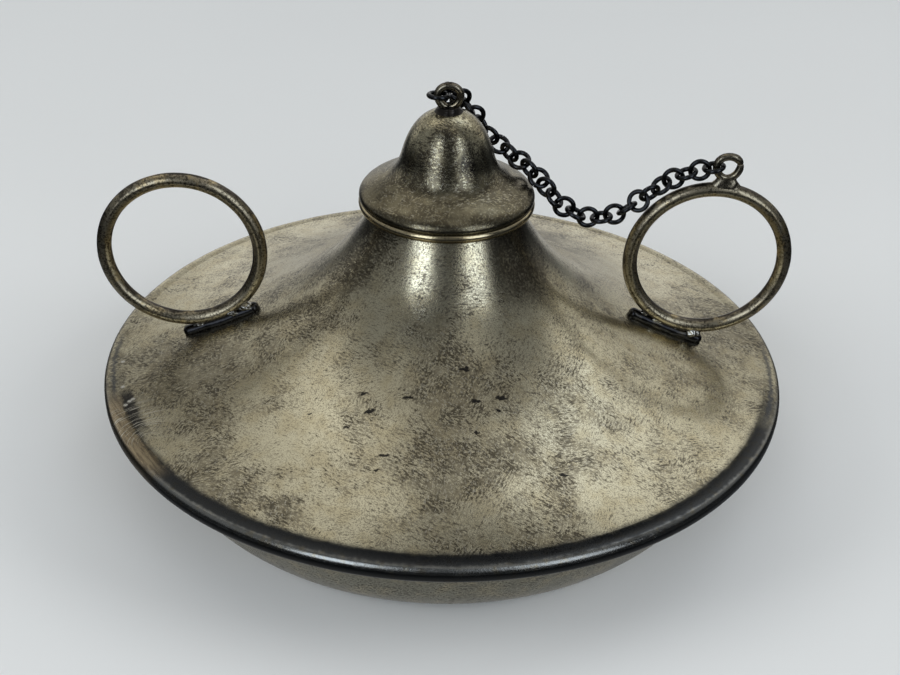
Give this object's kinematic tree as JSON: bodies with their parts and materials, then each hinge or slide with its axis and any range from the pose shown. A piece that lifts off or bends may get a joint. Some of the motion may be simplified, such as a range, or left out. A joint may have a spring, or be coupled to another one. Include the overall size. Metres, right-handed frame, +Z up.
{
  "type": "table oil lamp with chained snuffer cap",
  "caption": "Low round metal oil lamp with a bell neck, finger rings on its shoulder and a bell snuffer cap on a short chain.",
  "frame": {"origin": "centre of the foot, on the surface that the lamp stands on", "axes": "+Z up along the lamp's axis, +X towards the ring that holds the chain, -Y the front"},
  "size_m": [0.1204, 0.12, 0.0697],
  "materials": {
    "silver_plate": "satin",
    "dark_plate": "gloss",
    "aged_brass": "satin",
    "bronze_wire": "satin",
    "chain_wire": "gloss",
    "cotton": "matte"
  },
  "bodies": {
    "lamp": {"reservoir_top": "silver_plate", "reservoir_bowl": "silver_plate", "rim_bead": "dark_plate", "neck_collar": "aged_brass", "ring_handle_left": "bronze_wire", "ring_handle_right": "bronze_wire", "handle_saddle_left": "dark_plate", "handle_saddle_right": "dark_plate", "handle_chain_eye": "bronze_wire", "handle_eye_foot": "bronze_wire"},
    "burner": {"burner_plug": "aged_brass", "wick_tube": "aged_brass"},
    "wick": {"wick": "cotton"},
    "cap": {"snuffer_cap": "silver_plate", "cap_lip_bead": "aged_brass", "cap_collar": "dark_plate", "cap_eye": "bronze_wire"},
    "link_01": {"chain_link_01": "chain_wire"},
    "link_02": {"chain_link_02": "chain_wire"},
    "link_03": {"chain_link_03": "chain_wire"},
    "link_04": {"chain_link_04": "chain_wire"},
    "link_05": {"chain_link_05": "chain_wire"},
    "link_06": {"chain_link_06": "chain_wire"},
    "link_07": {"chain_link_07": "chain_wire"},
    "link_08": {"chain_link_08": "chain_wire"},
    "link_09": {"chain_link_09": "chain_wire"},
    "link_10": {"chain_link_10": "chain_wire"},
    "link_11": {"chain_link_11": "chain_wire"},
    "link_12": {"chain_link_12": "chain_wire"},
    "link_13": {"chain_link_13": "chain_wire"},
    "link_14": {"chain_link_14": "chain_wire"},
    "link_15": {"chain_link_15": "chain_wire"},
    "link_16": {"chain_link_16": "chain_wire"},
    "link_17": {"chain_link_17": "chain_wire"},
    "link_18": {"chain_link_18": "chain_wire"},
    "link_19": {"chain_link_19": "chain_wire"},
    "link_20": {"chain_link_20": "chain_wire"},
    "link_21": {"chain_link_21": "chain_wire"},
    "link_22": {"chain_link_22": "chain_wire"},
    "link_23": {"chain_link_23": "chain_wire"},
    "link_24": {"chain_link_24": "chain_wire"},
    "link_25": {"chain_link_25": "chain_wire"},
    "link_26": {"chain_link_26": "chain_wire"},
    "link_27": {"chain_link_27": "chain_wire"},
    "link_28": {"chain_link_28": "chain_wire"}
  },
  "joints": [
    {"name": "cap_lift", "type": "slide", "parent": "lamp", "child": "cap", "axis": [0, 0, 1], "range_m": [0, 0.0085]},
    {"name": "burner_turn", "type": "hinge", "parent": "lamp", "child": "burner", "pos_m": [0, 0, 0.0525], "axis": [0, 0, 1], "continuous": true},
    {"name": "wick_raise", "type": "slide", "parent": "burner", "child": "wick", "axis": [0, 0, 1], "range_m": [0, 0.0015]},
    {"name": "link_01_swing", "type": "hinge", "parent": "cap", "child": "link_01", "pos_m": [-0.00184, 0, 0.0672], "axis": [0, 1, 0], "range_deg": [-1.37, 0.5]},
    {"name": "link_02_swing", "type": "hinge", "parent": "cap", "child": "link_02", "pos_m": [-0.00177, 0, 0.06718], "axis": [0, 1, 0], "range_deg": [-1.51, 0.5]},
    {"name": "link_03_swing", "type": "hinge", "parent": "cap", "child": "link_03", "pos_m": [-0.00157, 0, 0.06709], "axis": [0, 1, 0], "range_deg": [-1.65, 0.5]},
    {"name": "link_04_swing", "type": "hinge", "parent": "cap", "child": "link_04", "pos_m": [-0.00124, 0, 0.06691], "axis": [0, 1, 0], "range_deg": [-1.8, 0.5]},
    {"name": "link_05_swing", "type": "hinge", "parent": "cap", "child": "link_05", "pos_m": [-0.00084, 0, 0.06661], "axis": [0, 1, 0], "range_deg": [-1.95, 0.5]},
    {"name": "link_06_swing", "type": "hinge", "parent": "cap", "child": "link_06", "pos_m": [-0.00042, 0, 0.06622], "axis": [0, 1, 0], "range_deg": [-2.09, 0.5]},
    {"name": "link_07_swing", "type": "hinge", "parent": "cap", "child": "link_07", "pos_m": [0.00004, 0, 0.0657], "axis": [0, 1, 0], "range_deg": [-2.23, 0.5]},
    {"name": "link_08_swing", "type": "hinge", "parent": "cap", "child": "link_08", "pos_m": [0.00053, 0, 0.06512], "axis": [0, 1, 0], "range_deg": [-2.38, 0.5]},
    {"name": "link_09_swing", "type": "hinge", "parent": "cap", "child": "link_09", "pos_m": [0.00104, 0, 0.06454], "axis": [0, 1, 0], "range_deg": [-2.52, 0.5]},
    {"name": "link_10_swing", "type": "hinge", "parent": "cap", "child": "link_10", "pos_m": [0.00164, 0, 0.06394], "axis": [0, 1, 0], "range_deg": [-2.67, 0.5]},
    {"name": "link_11_swing", "type": "hinge", "parent": "cap", "child": "link_11", "pos_m": [0.00227, 0, 0.06336], "axis": [0, 1, 0], "range_deg": [-2.81, 0.5]},
    {"name": "link_12_swing", "type": "hinge", "parent": "cap", "child": "link_12", "pos_m": [0.00289, 0, 0.06284], "axis": [0, 1, 0], "range_deg": [-2.95, 0.5]},
    {"name": "link_13_swing", "type": "hinge", "parent": "cap", "child": "link_13", "pos_m": [0.00427, 0, 0.06198], "axis": [0, 1, 0], "range_deg": [-2.31, 0.5]},
    {"name": "link_14_swing", "type": "hinge", "parent": "lamp", "child": "link_14", "pos_m": [0.03942, 0, 0.05411], "axis": [0, 1, 0], "range_deg": [-0.5, 23.45]},
    {"name": "link_15_swing", "type": "hinge", "parent": "lamp", "child": "link_15", "pos_m": [0.03962, 0, 0.05358], "axis": [0, 1, 0], "range_deg": [-0.5, 23.94]},
    {"name": "link_16_swing", "type": "hinge", "parent": "lamp", "child": "link_16", "pos_m": [0.04002, 0, 0.05375], "axis": [0, 1, 0], "range_deg": [-0.5, 23.69]},
    {"name": "link_17_swing", "type": "hinge", "parent": "lamp", "child": "link_17", "pos_m": [0.04074, 0, 0.05389], "axis": [0, 1, 0], "range_deg": [-0.5, 22.89]},
    {"name": "link_18_swing", "type": "hinge", "parent": "lamp", "child": "link_18", "pos_m": [0.04163, 0, 0.05414], "axis": [0, 1, 0], "range_deg": [-0.5, 21.87]},
    {"name": "link_19_swing", "type": "hinge", "parent": "lamp", "child": "link_19", "pos_m": [0.04259, 0, 0.05448], "axis": [0, 1, 0], "range_deg": [-0.5, 20.75]},
    {"name": "link_20_swing", "type": "hinge", "parent": "lamp", "child": "link_20", "pos_m": [0.04348, 0, 0.05484], "axis": [0, 1, 0], "range_deg": [-0.5, 19.69]},
    {"name": "link_21_swing", "type": "hinge", "parent": "lamp", "child": "link_21", "pos_m": [0.04421, 0, 0.05515], "axis": [0, 1, 0], "range_deg": [-0.5, 18.77]},
    {"name": "link_22_swing", "type": "hinge", "parent": "lamp", "child": "link_22", "pos_m": [0.04474, 0, 0.05536], "axis": [0, 1, 0], "range_deg": [-0.5, 18.07]},
    {"name": "link_23_swing", "type": "hinge", "parent": "lamp", "child": "link_23", "pos_m": [0.04505, 0, 0.05547], "axis": [0, 1, 0], "range_deg": [-0.5, 17.62]},
    {"name": "link_24_swing", "type": "hinge", "parent": "lamp", "child": "link_24", "pos_m": [0.04516, 0, 0.05551], "axis": [0, 1, 0], "range_deg": [-0.5, 17.45]},
    {"name": "link_25_swing", "type": "hinge", "parent": "lamp", "child": "link_25", "pos_m": [0.04518, 0, 0.05551], "axis": [0, 1, 0], "range_deg": [-0.5, 17.41]},
    {"name": "link_26_swing", "type": "hinge", "parent": "lamp", "child": "link_26", "pos_m": [0.04513, 0, 0.0555], "axis": [0, 1, 0], "range_deg": [-0.5, 17.54]},
    {"name": "link_27_swing", "type": "hinge", "parent": "lamp", "child": "link_27", "pos_m": [0.0451, 0, 0.0555], "axis": [0, 1, 0], "range_deg": [-0.5, 17.65]},
    {"name": "link_28_swing", "type": "hinge", "parent": "lamp", "child": "link_28", "pos_m": [0.0451, 0, 0.0555], "axis": [0, 1, 0], "range_deg": [-0.5, 17.7]}
  ],
  "couplings": [
    {"joint": "link_01_swing", "follows": "cap_lift", "rad_per_m": -1.7453},
    {"joint": "link_02_swing", "follows": "cap_lift", "rad_per_m": -2.042},
    {"joint": "link_03_swing", "follows": "cap_lift", "rad_per_m": -2.3213},
    {"joint": "link_04_swing", "follows": "cap_lift", "rad_per_m": -2.618},
    {"joint": "link_05_swing", "follows": "cap_lift", "rad_per_m": -2.9147},
    {"joint": "link_06_swing", "follows": "cap_lift", "rad_per_m": -3.194},
    {"joint": "link_07_swing", "follows": "cap_lift", "rad_per_m": -3.4907},
    {"joint": "link_08_swing", "follows": "cap_lift", "rad_per_m": -3.7874},
    {"joint": "link_09_swing", "follows": "cap_lift", "rad_per_m": -4.0666},
    {"joint": "link_10_swing", "follows": "cap_lift", "rad_per_m": -4.3633},
    {"joint": "link_11_swing", "follows": "cap_lift", "rad_per_m": -4.66},
    {"joint": "link_12_swing", "follows": "cap_lift", "rad_per_m": -4.9393},
    {"joint": "link_13_swing", "follows": "cap_lift", "rad_per_m": -3.6477},
    {"joint": "link_14_swing", "follows": "cap_lift", "rad_per_m": 46.199},
    {"joint": "link_15_swing", "follows": "cap_lift", "rad_per_m": 47.176},
    {"joint": "link_16_swing", "follows": "cap_lift", "rad_per_m": 46.688},
    {"joint": "link_17_swing", "follows": "cap_lift", "rad_per_m": 45.064},
    {"joint": "link_18_swing", "follows": "cap_lift", "rad_per_m": 43.022},
    {"joint": "link_19_swing", "follows": "cap_lift", "rad_per_m": 40.771},
    {"joint": "link_20_swing", "follows": "cap_lift", "rad_per_m": 38.624},
    {"joint": "link_21_swing", "follows": "cap_lift", "rad_per_m": 36.774},
    {"joint": "link_22_swing", "follows": "cap_lift", "rad_per_m": 35.378},
    {"joint": "link_23_swing", "follows": "cap_lift", "rad_per_m": 34.47},
    {"joint": "link_24_swing", "follows": "cap_lift", "rad_per_m": 34.121},
    {"joint": "link_25_swing", "follows": "cap_lift", "rad_per_m": 34.034},
    {"joint": "link_26_swing", "follows": "cap_lift", "rad_per_m": 34.296},
    {"joint": "link_27_swing", "follows": "cap_lift", "rad_per_m": 34.523},
    {"joint": "link_28_swing", "follows": "cap_lift", "rad_per_m": 34.627}
  ]
}
